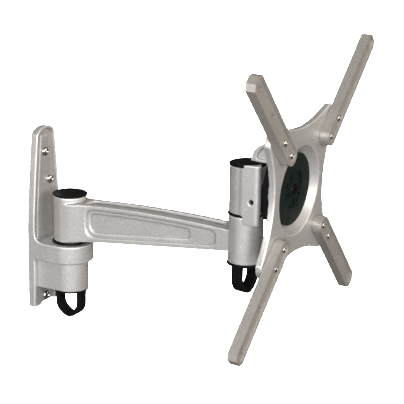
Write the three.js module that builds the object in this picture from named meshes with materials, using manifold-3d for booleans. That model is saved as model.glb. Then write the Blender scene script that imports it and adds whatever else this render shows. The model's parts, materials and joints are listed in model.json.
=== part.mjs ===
// Full motion television wall mount: a cast wall plate carries a swinging arm, the arm carries a knuckle
// that swivels and tilts, and the knuckle carries a turning star plate with four screw-on arms.
// Millimetres, +Z up. The wall is the plane y = 0 and the screen side faces -Y.
import * as THREE from "three";
import { mergeVertices } from "three/addons/utils/BufferGeometryUtils.js";
import Module from "manifold-3d";

const wasm = await Module();
wasm.setup();

// ---- Driving dimensions ---------------------------------------------------------------------------------

const gap = 0.3; // between pieces that touch or clamp
const turnGap = 0.25; // all round a shaft that turns
const screwGap = 0.3; // all round a screw's shank
const cutExtra = 1; // how far a cut runs past the face that it opens
const roundLarge = 36; // sides of a large round, a medium one and a small one
const roundMedium = 24;
const roundSmall = 16;

// Wall plate
const plateBottom = -78.5;
const plateTop = 81.7;
const plateHalfWidth = 20.5;
const plateTopHalfWidth = 13.2;
const plateShoulder = 12; // height where the sides start to lean in
const plateCrown = 7.7; // height of the rounded top
const plateThick = 7;
const plateCorner = 3;
const rimWidth = 2.2;
const rimHeight = 3.2;
const panelInset = 9; // from the plate's edge to the raised centre panel
const panelHeight = 1;
const webFillet = 8; // between the rim and the top of the shelf
const pivotOffset = 31; // wall to the arm's pivot
const shelfTop = -18;
const shelfThick = 15.5;
const shelfOverhang = 4.5; // shelf's edge beyond the boss
const bossWall = 4; // round the nut's pocket
const bossDepth = 26.5;
const footRecessHalfWidth = 9.5;
const footRecessTop = -62;
const wallScrews = { top: [0, 59], middle: [7, 33], low: [0, -73] };
const wallScrewRadius = 2.4;
const wallHeadRadius = 4.2;
const wallHeadHeight = 2.8;

// Pivots
const barrelRadius = 14.4;
const barrelHeight = 40;
const pivotBoltRadius = 4;
const boltHeadRadius = 6.5;
const boltHeadHeight = 4;
const bushWall = 0.95;
const bushLength = 10;
const bushFlange = 1;
const bushFlangeRadius = 8.6;
const thrustWasherThick = 1.2;
const thrustWasherRadius = 9;
const pivotWasherThick = 1.5;
const wallWasherOverhang = 1.3; // beyond the barrel
const headWasherOverhang = 0.7;
const barrelWall = 2.5; // round the pockets in a barrel's ends
const headPocketDepth = 8;
const nutPocketDepth = 14;
const nutWasherThick = 1.4;
const springWasherThick = 1.5;
const nutAcrossCorners = 15;
const nutHeight = 7;
const capOverhang = 0.8; // beyond the barrel
const capThick = 1.5;
const capSpigotWall = 1.2;
const capSpigotDepth = 3.5;

// Cable clips
const clipWidth = 26;
const clipStrap = 4.4;
const clipDepth = 9;
const clipDrop = 25.5;
const clipStraight = 11;
const clipSlit = 1;
const clipOuterCurve = 0.86; // where down its drop the leg's outer and inner curves turn in
const clipInnerCurve = 0.66;
const clipPlateThick = 1.6;
const headClipTurn = THREE.MathUtils.degToRad(82);

// Arm
const armLength = 170.2;
const armWidth = 22;
const armTopWall = 18.5;
const armTopMiddle = 23;
const armTopHead = 20.4;
const armBottomWall = -15;
const armBottomHead = 4.1;
const headBarrelBottom = -6;
const recessStep = 0.9;
const outerRecess = { top: 3, bottom: 4, wallEnd: 31.8, headEnd: 27.8, wallCorner: 9, headCorner: 6.2 };
const innerRecess = { top: 6.6, bottom: 8, wallEnd: 33.7, headEnd: 49.9, wallCorner: 7.5, headCorner: 4 };
const grooveHalfWidth = 6;
const grooveDepth = 2.8;
const grooveFromPivot = 20;

// Knuckle and tilt
const blockDepth = 3.6; // block's front beyond the barrel
const knuckleHeight = 39; // of its barrel
const skirtDrop = 7.1; // block below and above the knuckle's barrel
const blockRise = 3.3;
const cheekThick = 4;
const blockOverhang = 0.8; // block beyond the barrel on each side
const blockFlare = 3; // length over which it flares out
const blockCorner = 4;
const tiltInset = 3.2; // tilt axis inside the barrel's front
const tiltAboveBarrel = 12.3; // tilt axis above the foot of the knuckle's barrel
const restTilt = THREE.MathUtils.degToRad(2.5);
const tiltBackRoom = THREE.MathUtils.degToRad(8.5); // how far the neck may lean back, and forward
const tiltForwardRoom = THREE.MathUtils.degToRad(18);
const tiltBoltRadius = 2.4;
const tiltHeadRadius = 4.2;
const tiltHeadHeight = 2.8;
const tiltBlindWall = 2; // left at the closed end of the bolt hole
const tiltSightHole = 2.1;
const tiltEyeRadius = 4.2;
const tiltEyeNeck = 3.4;
const tiltEyeHalfWidth = 3.8;
const tiltWasherThick = 0.7;
const tongueHalfWidth = 4.6;
const padHalfWidth = 9.2;
const neckBottom = -13.5;
const neckTop = 31;
const padTop = 32.6;
const hornHeight = 47;
const hornBack = 7.6;
const hornCurve = 0.55; // share of the horn's arc over which its back stays steep

// Star plate, measured forward from the tilt axis and out from the plate's centre
const plateReach = 43;
const plateRise = 13.5;
const baseBack = 17.1;
const baseThick = 4;
const baseRadius = 21.5;
const rearDiscThick = 2.5;
const rearDiscRadius = 22.5;
const dishFloorThick = 2.5;
const dishSlope = 6.9; // how far the dish narrows from its mouth to its floor
const dishMouthRadius = 36.5;
const dishWall = 2.6;
const frontDiscThick = 2.5;
const hubRadius = 6.3;
const hubHeight = 1.2;
const hubWall = 1.5;
const slotCount = 8;
const slotInner = 7.6;
const slotOuter = 15.4;
const slotBridge = 1.5;
const starThick = 5.4;
const lobeCentre = 47;
const lobeRadius = 14;
const waistAcross = 45.5; // centre to the concave side edges
const waistUp = 51.5; // centre to the concave top and bottom edges
const ringWidth = 3;
const rotationBoltRadius = 2.9;
const rotationHeadRadius = 4.4;
const rotationHeadHeight = 2.4;
const rotationBoltGrip = 8; // thread in the bracket's tongue

// Screen arms
const holePitches = [75, 100, 150, 200]; // square hole patterns
const barDepth = 8.2;
const barWidth = 15.5;
const barTip = 152.5; // plate centre to the tip
const barTipChamfer = 4;
const barRim = 2.2;
const barChannel = 1.5;
const barHoleRadius = 2.5;
const armScrewRadius = 2;
const armHeadRadius = 2.6;
const armHeadHeight = 1.3;
const armSocketWidth = 2.4;

// Worked out from the above
const headPivot = pivotOffset + armLength;
const pocketRadius = barrelRadius - barrelWall;
const bossRadius = pocketRadius + bossWall;
const shelfRadius = bossRadius + shelfOverhang;
const capRadius = barrelRadius + capOverhang;
const wallWasherRadius = barrelRadius + wallWasherOverhang;
const headWasherRadius = barrelRadius + headWasherOverhang;
const blockReach = barrelRadius + blockDepth;
const tiltReach = barrelRadius - tiltInset;
const dishFloorRadius = dishMouthRadius - dishSlope;
const wallBarrelBottom = shelfTop + pivotWasherThick + 2 * gap;
const knuckleBottom = headBarrelBottom + barrelHeight + pivotWasherThick + 2 * gap;
const knuckleTop = knuckleBottom + knuckleHeight;
const blockBottom = knuckleBottom - skirtDrop;
const blockTop = knuckleTop + blockRise;
const tiltHeight = knuckleBottom + tiltAboveBarrel;
const bushRadius = pivotBoltRadius + turnGap + bushWall;
const boreRadius = bushRadius + turnGap;
const bossBottom = shelfTop - shelfThick - bossDepth;
const starFront = plateReach - barDepth - gap;
const starBack = starFront - starThick;
const dishFloorBack = baseBack + baseThick + rearDiscThick + 2 * gap;
const dishFloorFront = dishFloorBack + dishFloorThick;
const frontDiscFront = dishFloorFront + gap + frontDiscThick;
const slotHalfWidth = barrelRadius - cheekThick;
const tiltHeadSeat = barrelRadius - tiltHeadHeight;

const silver = { color: 0xc6c5c2, roughness: 0.42, metalness: 0.65 };
const blackPlastic = { color: 0x161717, roughness: 0.45, metalness: 0 };
const greenBlack = { color: 0x1b2422, roughness: 0.5, metalness: 0 };
const brightSteel = { color: 0xd8dadb, roughness: 0.22, metalness: 1 };
const zincSteel = { color: 0x9da0a2, roughness: 0.35, metalness: 0.9 };
const nylon = { color: 0xe4e1d6, roughness: 0.55, metalness: 0 };

// ---- Shapes ---------------------------------------------------------------------------------------------

// A closed three.js geometry as a solid that can be cut and joined.
function solid(geometry) {
  const bare = geometry.index ? geometry.toNonIndexed() : geometry.clone();
  bare.deleteAttribute("normal");
  bare.deleteAttribute("uv");
  const merged = mergeVertices(bare, 1e-4);
  return new wasm.Manifold(new wasm.Mesh({
    numProp: 3,
    vertProperties: new Float32Array(merged.attributes.position.array),
    triVerts: new Uint32Array(merged.index.array),
  }));
}

function join(...parts) {
  return parts.reduce((sum, part) => sum.add(part));
}

function cut(body, ...tools) {
  return tools.reduce((left, tool) => left.subtract(tool), body);
}

// A named mesh of a finished solid, with its own material.
function piece(group, name, body, look) {
  const made = body.getMesh();
  const geometry = new THREE.BufferGeometry();
  geometry.setAttribute("position", new THREE.BufferAttribute(made.vertProperties, 3));
  geometry.setIndex(new THREE.BufferAttribute(made.triVerts, 1));
  geometry.computeVertexNormals();
  const mesh = new THREE.Mesh(geometry, new THREE.MeshStandardMaterial(look));
  mesh.name = name;
  group.add(mesh);
}

const extruded = (shape, depth, curveSegments) =>
  new THREE.ExtrudeGeometry(shape, { depth, bevelEnabled: false, curveSegments });

// A slab of an outline drawn in X and Y, from height low to height high.
function slabZ(shape, low, high, curveSegments = 8) {
  return solid(extruded(shape, high - low, curveSegments).translate(0, 0, low));
}

// A slab of an outline drawn in X and Z, from front (the smaller y) to back.
function slabY(shape, front, back, curveSegments = 8) {
  return solid(extruded(shape, back - front, curveSegments).rotateX(Math.PI / 2).translate(0, back, 0));
}

// A slab of an outline drawn in Y and Z, from x = left to x = right.
function slabX(shape, left, right, curveSegments = 8) {
  const swap = new THREE.Matrix4().set(0, 0, 1, left, 1, 0, 0, 0, 0, 1, 0, 0, 0, 0, 0, 1);
  return solid(extruded(shape, right - left, curveSegments).applyMatrix4(swap));
}

function box(x, y, z) {
  const geometry = new THREE.BoxGeometry(x[1] - x[0], y[1] - y[0], z[1] - z[0]);
  return solid(geometry.translate((x[0] + x[1]) / 2, (y[0] + y[1]) / 2, (z[0] + z[1]) / 2));
}

function polygon(points) {
  return new THREE.Shape(points.map(([a, b]) => new THREE.Vector2(a, b)));
}

// A turned solid about Z. The profile is a list of [radius, height] that starts and ends on the axis.
function turned(profile, segments) {
  const points = profile.map(([r, z]) => new THREE.Vector2(r, z));
  const geometry = new THREE.LatheGeometry(points, segments);
  geometry.rotateX(Math.PI / 2);
  const positions = geometry.attributes.position.array;
  positions.forEach((value, i) => (positions[i] = Math.abs(value) < 1e-6 ? 0 : value));
  const body = solid(dropSlivers(geometry));
  return body.volume() < 0 ? solid(flipped(dropSlivers(geometry))) : body;
}

// Leaves out the triangles of no area that a profile makes where it meets the axis.
function dropSlivers(geometry) {
  const merged = mergeVertices(stripped(geometry), 1e-4);
  const index = merged.index.array;
  const kept = [];
  for (let i = 0; i < index.length; i += 3) {
    const [a, b, c] = [index[i], index[i + 1], index[i + 2]];
    if (a !== b && b !== c && c !== a) kept.push(a, b, c);
  }
  merged.setIndex(kept);
  return merged;
}

function stripped(geometry) {
  const bare = geometry.clone();
  bare.deleteAttribute("normal");
  bare.deleteAttribute("uv");
  return bare;
}

function flipped(geometry) {
  const copy = geometry.clone();
  const index = copy.index.array;
  for (let i = 0; i < index.length; i += 3) [index[i], index[i + 1]] = [index[i + 1], index[i]];
  return copy;
}

function rod(radius, low, high, segments = roundMedium) {
  const geometry = new THREE.CylinderGeometry(radius, radius, high - low, segments);
  return solid(geometry.rotateX(Math.PI / 2).translate(0, 0, (low + high) / 2));
}

function tube(inner, outer, low, high, segments = roundMedium) {
  return cut(rod(outer, low, high, segments), rod(inner, low - cutExtra, high + cutExtra, segments));
}

// Turns a solid made about Z so that its axis points forward (-Y), or to the right (+X).
const facingForward = (body) => body.rotate([90, 0, 0]);
const facingRight = (body) => body.rotate([0, 90, 0]);

function hexRod(acrossCorners, low, high) {
  return rod(acrossCorners / 2, low, high, 6);
}

// ---- Wall plate -----------------------------------------------------------------------------------------

// The plate's outline in X and Z, drawn in by inset and stopped at height low.
function plateOutline(inset, low) {
  const half = plateHalfWidth - inset;
  const topHalf = plateTopHalfWidth - inset;
  const corner = inset ? 0.5 : plateCorner;
  const crownBase = plateTop - plateCrown;
  const shape = new THREE.Shape();
  shape.moveTo(-half + corner, low);
  shape.lineTo(half - corner, low);
  shape.quadraticCurveTo(half, low, half, low + corner);
  shape.lineTo(half, plateShoulder);
  shape.lineTo(topHalf, crownBase);
  shape.absellipse(0, crownBase, topHalf, Math.max(plateCrown - inset, 2), 0, Math.PI, false);
  shape.lineTo(-half, plateShoulder);
  shape.lineTo(-half, low + corner);
  shape.quadraticCurveTo(-half, low, -half + corner, low);
  return shape;
}

function shelfOutline(halfBack, radius) {
  const shape = new THREE.Shape();
  shape.moveTo(-halfBack, -cutExtra);
  shape.lineTo(-radius, -pivotOffset);
  shape.absarc(0, -pivotOffset, radius, Math.PI, 2 * Math.PI, false);
  shape.lineTo(halfBack, -cutExtra);
  return shape;
}

// The concave web that runs from the rim down on to the shelf, drawn in Y and Z.
function webOutline() {
  const shape = new THREE.Shape();
  shape.moveTo(-cutExtra, shelfTop - cutExtra);
  shape.lineTo(-cutExtra, shelfTop + webFillet);
  shape.lineTo(-plateThick, shelfTop + webFillet);
  shape.quadraticCurveTo(-plateThick, shelfTop, -plateThick - webFillet, shelfTop);
  shape.lineTo(-plateThick - webFillet, shelfTop - cutExtra);
  return shape;
}

function footRecessOutline() {
  const shape = new THREE.Shape();
  shape.moveTo(-footRecessHalfWidth, plateBottom - cutExtra);
  shape.lineTo(footRecessHalfWidth, plateBottom - cutExtra);
  shape.lineTo(footRecessHalfWidth, footRecessTop - footRecessHalfWidth / 2);
  shape.quadraticCurveTo(footRecessHalfWidth, footRecessTop, 0, footRecessTop);
  shape.quadraticCurveTo(-footRecessHalfWidth, footRecessTop,
    -footRecessHalfWidth, footRecessTop - footRecessHalfWidth / 2);
  return shape;
}

const atWallPivot = (body) => body.translate([0, -pivotOffset, 0]);
const floorFront = -(plateThick - rimHeight);
const panelFront = floorFront - panelHeight;

function wallPlateBody() {
  const floor = slabY(plateOutline(rimWidth, shelfTop - cutExtra), -plateThick - cutExtra, floorFront);
  const panel = slabY(plateOutline(panelInset, shelfTop), panelFront, floorFront + gap);
  const shelfShape = shelfOutline(plateHalfWidth, shelfRadius);
  const shelf = slabZ(shelfShape, shelfTop - shelfThick, shelfTop, roundSmall);
  const boss = slabZ(shelfOutline(bossRadius, bossRadius), bossBottom, shelfTop - cutExtra, roundSmall);
  const webs = [-1, 1].map((side) => {
    const edges = [side * plateHalfWidth, side * (plateHalfWidth - rimWidth)].sort((a, b) => a - b);
    return slabX(webOutline(), edges[0], edges[1]);
  });
  const blank = slabY(plateOutline(0, plateBottom), -plateThick, 0);
  const body = join(cut(blank, floor), panel, shelf, boss, ...webs);
  const behind = box([-shelfRadius * 2, shelfRadius * 2], [0, shelfRadius], [plateBottom * 2, plateTop * 2]);
  const foot = slabY(footRecessOutline(), -plateThick - cutExtra, floorFront);
  const bolt = atWallPivot(rod(pivotBoltRadius + screwGap, bossBottom - cutExtra, shelfTop + cutExtra));
  const pocket = atWallPivot(rod(pocketRadius, bossBottom - cutExtra, bossBottom + nutPocketDepth));
  const drill = facingForward(rod(wallScrewRadius + screwGap, -cutExtra, plateThick + cutExtra,
    roundSmall));
  const holes = Object.values(wallScrews).map(([x, z]) => drill.translate([x, 0, z]));
  return cut(body, behind, foot, bolt, pocket, ...holes);
}

// A domed screw head on the plate's floor, with a shank that ends level with the plate's back.
function wallScrew(seat) {
  const dome = [];
  const steps = 3;
  for (let i = 0; i <= steps; i++) {
    const angle = (i / steps) * (Math.PI / 2);
    dome.push([wallHeadRadius * Math.cos(angle), seat + gap + wallHeadHeight * Math.sin(angle)]);
  }
  dome[steps][0] = 0;
  const profile = [[0, 0], [wallScrewRadius, 0], [wallScrewRadius, seat + gap], ...dome];
  const socket = hexRod(wallHeadRadius * 0.9, seat + wallHeadHeight / 2, seat + wallHeadHeight * 2);
  return facingForward(cut(turned(profile, roundMedium), socket));
}

// ---- Pivot hardware, all about Z ------------------------------------------------------------------------

function pivotBolt(headSeat, end) {
  const head = rod(boltHeadRadius, headSeat, headSeat + boltHeadHeight, roundMedium);
  const headTop = headSeat + boltHeadHeight;
  const socket = hexRod(boltHeadRadius, headTop - (boltHeadHeight * 2) / 3, headTop + cutExtra);
  return cut(join(head, rod(pivotBoltRadius, end, headSeat + cutExtra, roundMedium)), socket);
}

const clearOfBolt = pivotBoltRadius + turnGap;
const washer = (radius, low, thick) => tube(clearOfBolt, radius, low, low + thick, roundMedium);
const nut = (low) => cut(hexRod(nutAcrossCorners, low, low + nutHeight),
  rod(clearOfBolt, low - cutExtra, low + nutHeight + cutExtra, roundMedium));
const plainBush = (low) => tube(clearOfBolt, bushRadius, low, low + bushLength, roundMedium);

function flangedBush(seat) {
  return join(tube(clearOfBolt, bushRadius, seat - bushLength, seat + bushFlange, roundMedium),
    tube(clearOfBolt, bushFlangeRadius, seat + gap / 2, seat + bushFlange, roundMedium));
}

// The disc that closes a barrel's top, with a ring that presses into the counterbore.
function barrelCap(seat) {
  const crown = capThick / 3;
  const outer = pocketRadius - gap;
  const inner = outer - capSpigotWall;
  const [under, over, ringEnd] = [seat + gap, seat + gap + capThick, seat - capSpigotDepth];
  const ring = [[inner, under], [inner, ringEnd], [outer, ringEnd], [outer, under]];
  const disc = [[capRadius, under], [capRadius, over - crown], [capRadius - crown, over], [0, over]];
  return turned([[0, under], ...ring, ...disc], roundLarge);
}

// One curved leg of the cable clip, drawn in X and Z below its plate.
function clipLegOutline(side, top) {
  const outer = (side * clipWidth) / 2;
  const inner = outer - side * clipStrap;
  const meet = (side * clipSlit) / 2;
  const shape = new THREE.Shape();
  shape.moveTo(inner, top + gap);
  shape.lineTo(outer, top + gap);
  shape.lineTo(outer, top - clipStraight);
  shape.quadraticCurveTo(outer, top - clipDrop * clipOuterCurve, meet, top - clipDrop);
  shape.lineTo(meet, top - clipDrop + clipStrap);
  shape.quadraticCurveTo(inner, top - clipDrop * clipInnerCurve, inner, top - clipStraight);
  return shape;
}

// The cable clip: a round plate and press-in ring under a boss, and two springy legs that meet in a point.
function cableClip(seat) {
  const top = seat - gap;
  const low = top - clipPlateThick;
  const outer = pocketRadius - gap;
  const ring = tube(outer - capSpigotWall, outer, low + gap, seat + capSpigotDepth, roundMedium);
  const legs = [-1, 1].map((side) => slabY(clipLegOutline(side, low), -clipDepth / 2, clipDepth / 2, 6));
  return join(rod(capRadius, low, top, roundLarge), ring, ...legs);
}

// ---- Arm, about its wall pivot, running towards -Y ------------------------------------------------------

const along = (t) => -t * armLength;
const armTop = (t) => armTopWall * (1 - t) ** 2 + 2 * armTopControl * t * (1 - t) + armTopHead * t ** 2;
const armTopControl = 2 * armTopMiddle - (armTopWall + armTopHead) / 2;
const armBottom = (t) => armBottomWall + (armBottomHead - armBottomWall) * t;

// A band of the arm's side, drawn in Y and Z, with round ends.
function armBand(inset, steps = 9) {
  const from = inset.wallEnd / armLength;
  const to = 1 - inset.headEnd / armLength;
  const upper = [];
  const lower = [];
  for (let i = 0; i <= steps; i++) {
    const t = from + ((to - from) * i) / steps;
    upper.push([along(t), armTop(t) - inset.top]);
    lower.push([along(t), armBottom(t) + inset.bottom]);
  }
  return [upper, lower];
}

function armSideOutline() {
  const [upper, lower] = armBand({ top: 0, bottom: 0, wallEnd: 0, headEnd: 0 });
  return polygon([...lower.reverse(), ...upper]);
}

function recessOutline(inset) {
  const [upper, lower] = armBand(inset);
  const shape = new THREE.Shape();
  const [wallUp, headUp] = [upper[0], upper[upper.length - 1]];
  const [wallLow, headLow] = [lower[0], lower[lower.length - 1]];
  const { wallCorner, headCorner } = inset;
  const wallSide = wallUp[0] + wallCorner;
  const headSide = headUp[0] - headCorner;
  shape.moveTo(...wallUp);
  shape.quadraticCurveTo(wallSide, wallUp[1], wallSide, wallUp[1] - wallCorner);
  shape.lineTo(wallSide, wallLow[1] + wallCorner);
  shape.quadraticCurveTo(wallSide, wallLow[1], ...wallLow);
  lower.slice(1).forEach(([y, z]) => shape.lineTo(y, z));
  shape.quadraticCurveTo(headSide, headLow[1], headSide, headLow[1] + headCorner);
  shape.lineTo(headSide, headUp[1] - headCorner);
  shape.quadraticCurveTo(headSide, headUp[1], ...headUp);
  upper.slice(1, -1).reverse().forEach(([y, z]) => shape.lineTo(y, z));
  return shape;
}

const atHeadPivot = (body) => body.translate([0, -armLength, 0]);

function sideRecess(inset, depth) {
  const outline = recessOutline(inset);
  return [-1, 1].map((side) => {
    const walls = [side * (armWidth / 2 - depth), side * (armWidth / 2 + cutExtra)].sort((a, b) => a - b);
    return slabX(outline, walls[0], walls[1], 8);
  });
}

function topGroove() {
  const steps = 9;
  const floor = [];
  for (let i = 0; i <= steps; i++) {
    const t = (grooveFromPivot + ((armLength - 2 * grooveFromPivot) * i) / steps) / armLength;
    floor.push([along(t), armTop(t) - grooveDepth]);
  }
  const clear = armTopMiddle + grooveDepth * 2;
  return slabX(polygon([[floor[0][0], clear], ...floor, [floor[steps][0], clear]].reverse()),
    -grooveHalfWidth, grooveHalfWidth);
}

function armBody() {
  const wallTop = wallBarrelBottom + barrelHeight;
  const headTop = headBarrelBottom + barrelHeight;
  const beam = cut(slabX(armSideOutline(), -armWidth / 2, armWidth / 2),
    ...sideRecess(outerRecess, recessStep), ...sideRecess(innerRecess, 2 * recessStep), topGroove());
  const body = join(beam, rod(barrelRadius, wallBarrelBottom, wallTop, roundLarge),
    atHeadPivot(rod(barrelRadius, headBarrelBottom, headTop, roundLarge)));
  return cut(body,
    rod(boreRadius, wallBarrelBottom - cutExtra, wallTop + cutExtra),
    rod(pocketRadius, wallTop - headPocketDepth, wallTop + cutExtra),
    atHeadPivot(rod(pivotBoltRadius + screwGap, headBarrelBottom - cutExtra, headTop + cutExtra)),
    atHeadPivot(rod(pocketRadius, headBarrelBottom - cutExtra, headBarrelBottom + nutPocketDepth)));
}

// ---- Knuckle, about the head pivot ----------------------------------------------------------------------

function blockOutline() {
  const shape = new THREE.Shape();
  const half = barrelRadius + blockOverhang;
  shape.moveTo(-barrelRadius, 0);
  shape.lineTo(-half, -blockFlare);
  shape.lineTo(-half, -blockReach + blockCorner);
  shape.quadraticCurveTo(-half, -blockReach, -half + blockCorner, -blockReach);
  shape.lineTo(half - blockCorner, -blockReach);
  shape.quadraticCurveTo(half, -blockReach, half, -blockReach + blockCorner);
  shape.lineTo(half, -blockFlare);
  shape.lineTo(barrelRadius, 0);
  return shape;
}

function knuckleBody() {
  const clearRadius = headWasherRadius + gap;
  const tiltRoom = tiltEyeRadius + 2 * gap;
  const slotStart = barrelRadius + 2 * gap;
  const block = cut(slabZ(blockOutline(), blockBottom, blockTop, 6),
    rod(clearRadius, blockBottom - cutExtra, knuckleBottom, roundLarge),
    rod(capRadius + gap, knuckleTop, blockTop + cutExtra, roundLarge));
  const body = join(block, rod(barrelRadius, knuckleBottom, knuckleTop, roundLarge));
  const boltHole = facingRight(join(
    rod(tiltBoltRadius + turnGap, -barrelRadius + tiltBlindWall, barrelRadius + cutExtra, roundSmall),
    rod(tiltSightHole, -barrelRadius - cutExtra, 0, roundSmall),
    rod(tiltHeadRadius + screwGap, tiltHeadSeat - gap, barrelRadius + cutExtra, roundSmall)));
  return cut(body,
    rod(boreRadius, knuckleBottom - cutExtra, knuckleTop + cutExtra),
    rod(pocketRadius, knuckleTop - headPocketDepth, knuckleTop + cutExtra),
    box([-slotHalfWidth, slotHalfWidth], [-blockReach - cutExtra, -slotStart],
      [blockBottom - cutExtra, blockTop + cutExtra]),
    box([-tongueHalfWidth - gap, tongueHalfWidth + gap], [-slotStart - cutExtra, -tiltReach + tiltRoom],
      [tiltHeight - tiltRoom, tiltHeight + tiltRoom]),
    boltHole.translate([0, -tiltReach, tiltHeight]));
}

function tiltBolt() {
  const head = rod(tiltHeadRadius, tiltHeadSeat, barrelRadius - gap, roundSmall);
  const shank = rod(tiltBoltRadius, -barrelRadius + tiltBlindWall + gap, tiltHeadSeat + gap, roundSmall);
  const socket = hexRod(tiltHeadRadius, tiltHeadSeat + gap * 3, barrelRadius + cutExtra);
  return facingRight(cut(join(head, shank), socket)).translate([0, -tiltReach, tiltHeight]);
}

// ---- Tilt bracket, about the tilt axis: forward is -Y ---------------------------------------------------

// The neck's back edge leans away from the barrel above and below the axis, so that it can tilt.
const neckBack = (height, extra) => barrelRadius + 2 * gap - tiltReach + extra +
  Math.abs(height) * Math.tan(height > 0 ? tiltBackRoom : tiltForwardRoom);

function tongueOutline() {
  const shape = new THREE.Shape();
  const front = -baseBack - cutExtra;
  shape.moveTo(front, neckBottom);
  shape.lineTo(-neckBack(neckBottom, gap), neckBottom);
  shape.lineTo(-neckBack(0, gap), 0);
  shape.lineTo(-neckBack(neckTop, gap), neckTop);
  shape.lineTo(hornBack, neckTop);
  const steep = neckTop + (hornHeight - neckTop) * hornCurve;
  shape.bezierCurveTo(hornBack, steep, hornBack / 4, hornHeight, -hornBack, hornHeight);
  shape.lineTo(front, hornHeight);
  return shape;
}

function eyeOutline() {
  const shape = new THREE.Shape();
  const reach = neckBack(0, gap) + cutExtra * 2;
  shape.absarc(0, 0, tiltEyeRadius, -Math.PI / 2, Math.PI / 2, false);
  shape.lineTo(-reach, tiltEyeNeck);
  shape.lineTo(-reach, -tiltEyeNeck);
  return shape;
}

const atPlateCentre = (body) => body.translate([0, 0, plateRise]);

function tiltBracketBody() {
  const tongue = cut(slabX(tongueOutline(), -tongueHalfWidth, tongueHalfWidth, 6),
    facingRight(rod(tiltEyeRadius + gap, tiltEyeHalfWidth, tongueHalfWidth + cutExtra, roundSmall)),
    facingRight(rod(tiltEyeRadius + gap, -tongueHalfWidth - cutExtra, -tiltEyeHalfWidth, roundSmall)));
  const base = atPlateCentre(facingForward(rod(baseRadius, baseBack, baseBack + baseThick, roundLarge)));
  return cut(join(tongue, base, slabX(eyeOutline(), -tiltEyeHalfWidth, tiltEyeHalfWidth, 8)),
    facingRight(rod(tiltBoltRadius + turnGap, -barrelRadius, barrelRadius, roundSmall)),
    atPlateCentre(facingForward(rod(rotationBoltRadius + screwGap,
      baseBack - rotationBoltGrip - gap, baseBack + baseThick + cutExtra, roundSmall))));
}

function padBody(side) {
  const outline = polygon([
    [-baseBack + gap, neckBottom], [-neckBack(neckBottom, gap), neckBottom], [-neckBack(0, gap), 0],
    [-neckBack(padTop, gap), padTop], [-baseBack + gap, padTop],
  ]);
  const walls = [side * (tongueHalfWidth + gap), side * padHalfWidth].sort((a, b) => a - b);
  return slabX(outline, walls[0], walls[1]);
}

function tiltWasher(side) {
  const start = tiltEyeHalfWidth + gap / 2;
  const end = start + tiltWasherThick - gap / 2;
  const ring = tube(tiltBoltRadius + turnGap, tiltEyeRadius, start, end, roundSmall);
  return side < 0 ? facingRight(ring).rotate([0, 0, 180]) : facingRight(ring);
}

// ---- Turning head: discs and bolt -----------------------------------------------------------------------

function slotShape(index) {
  const step = (2 * Math.PI) / slotCount;
  const inner = step / 2 - slotBridge / (2 * slotInner);
  const outer = step / 2 - slotBridge / (2 * slotOuter);
  const shape = new THREE.Shape();
  const middle = index * step;
  shape.absarc(0, 0, slotOuter, middle - outer, middle + outer, false);
  shape.absarc(0, 0, slotInner, middle + inner, middle - inner, true);
  return shape;
}

function frontDiscBody() {
  const back = dishFloorFront + gap;
  const plate = join(rod(dishFloorRadius - gap, back, frontDiscFront, roundLarge),
    tube(hubRadius - hubWall, hubRadius, back, frontDiscFront + hubHeight, roundMedium));
  const slots = Array.from({ length: slotCount }, (_, i) =>
    slabZ(slotShape(i), back - cutExtra, frontDiscFront + cutExtra, 3));
  const well = rod(hubRadius - hubWall, frontDiscFront - cutExtra, frontDiscFront + hubHeight, roundMedium);
  const bore = rod(rotationBoltRadius + screwGap, 0, plateReach, roundSmall);
  return facingForward(cut(plate, ...slots, well, bore));
}

function rotationBolt() {
  const seat = frontDiscFront - cutExtra + gap;
  const head = rod(rotationHeadRadius, seat, seat + rotationHeadHeight, roundMedium);
  const shank = rod(rotationBoltRadius, baseBack - rotationBoltGrip, seat + gap, roundSmall);
  const socket = hexRod(rotationHeadRadius, seat + 1, seat + rotationHeadHeight + cutExtra);
  return facingForward(cut(join(head, shank), socket));
}

function rearDiscBody() {
  const back = baseBack + baseThick + gap;
  const bore = rotationBoltRadius + screwGap;
  return facingForward(tube(bore, rearDiscRadius, back, back + rearDiscThick, roundLarge));
}

// ---- Star plate -----------------------------------------------------------------------------------------

// A four-lobed outline in X and Z with concave sides.
function starOutline() {
  const radius = lobeRadius;
  const reach = lobeCentre + radius;
  const side = 2 * waistAcross - reach;
  const upDown = 2 * waistUp - reach;
  const shape = new THREE.Shape();
  const lobes = [[1, 1, 0], [-1, 1, Math.PI / 2], [-1, -1, Math.PI], [1, -1, 1.5 * Math.PI]];
  shape.moveTo(reach, lobeCentre);
  lobes.forEach(([x, z, start], i) => {
    shape.absarc(x * lobeCentre, z * lobeCentre, radius, start, start + Math.PI / 2, false);
    const next = lobes[(i + 1) % lobes.length];
    const upright = x === next[0];
    const control = upright ? [x * side, 0] : [0, z * upDown];
    const end = upright ? [x * reach, next[1] * lobeCentre] : [next[0] * lobeCentre, z * reach];
    shape.quadraticCurveTo(control[0], control[1], end[0], end[1]);
  });
  return shape;
}

function dishBody() {
  return facingForward(turned([
    [0, dishFloorBack], [dishFloorRadius + dishWall, dishFloorBack],
    [dishMouthRadius + dishWall, starBack + gap],
    [dishMouthRadius + ringWidth, starFront], [dishMouthRadius, starFront],
    [dishFloorRadius, dishFloorFront], [0, dishFloorFront],
  ], roundLarge));
}

function starBody() {
  const plate = slabY(starOutline(), -starFront, -starBack, 6);
  const mouth = facingForward(rod(dishMouthRadius + cutExtra / 2, 0, plateReach, roundLarge));
  const body = join(cut(plate, mouth), dishBody());
  const holes = screenArms.flatMap(({ angle }) => [0, 1].map((i) =>
    boredAt(holePitches[i], angle, rod(armScrewRadius + screwGap, 0, plateReach, roundSmall))));
  return cut(body, facingForward(rod(rotationBoltRadius + screwGap, 0, plateReach, roundSmall)), ...holes);
}

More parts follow.
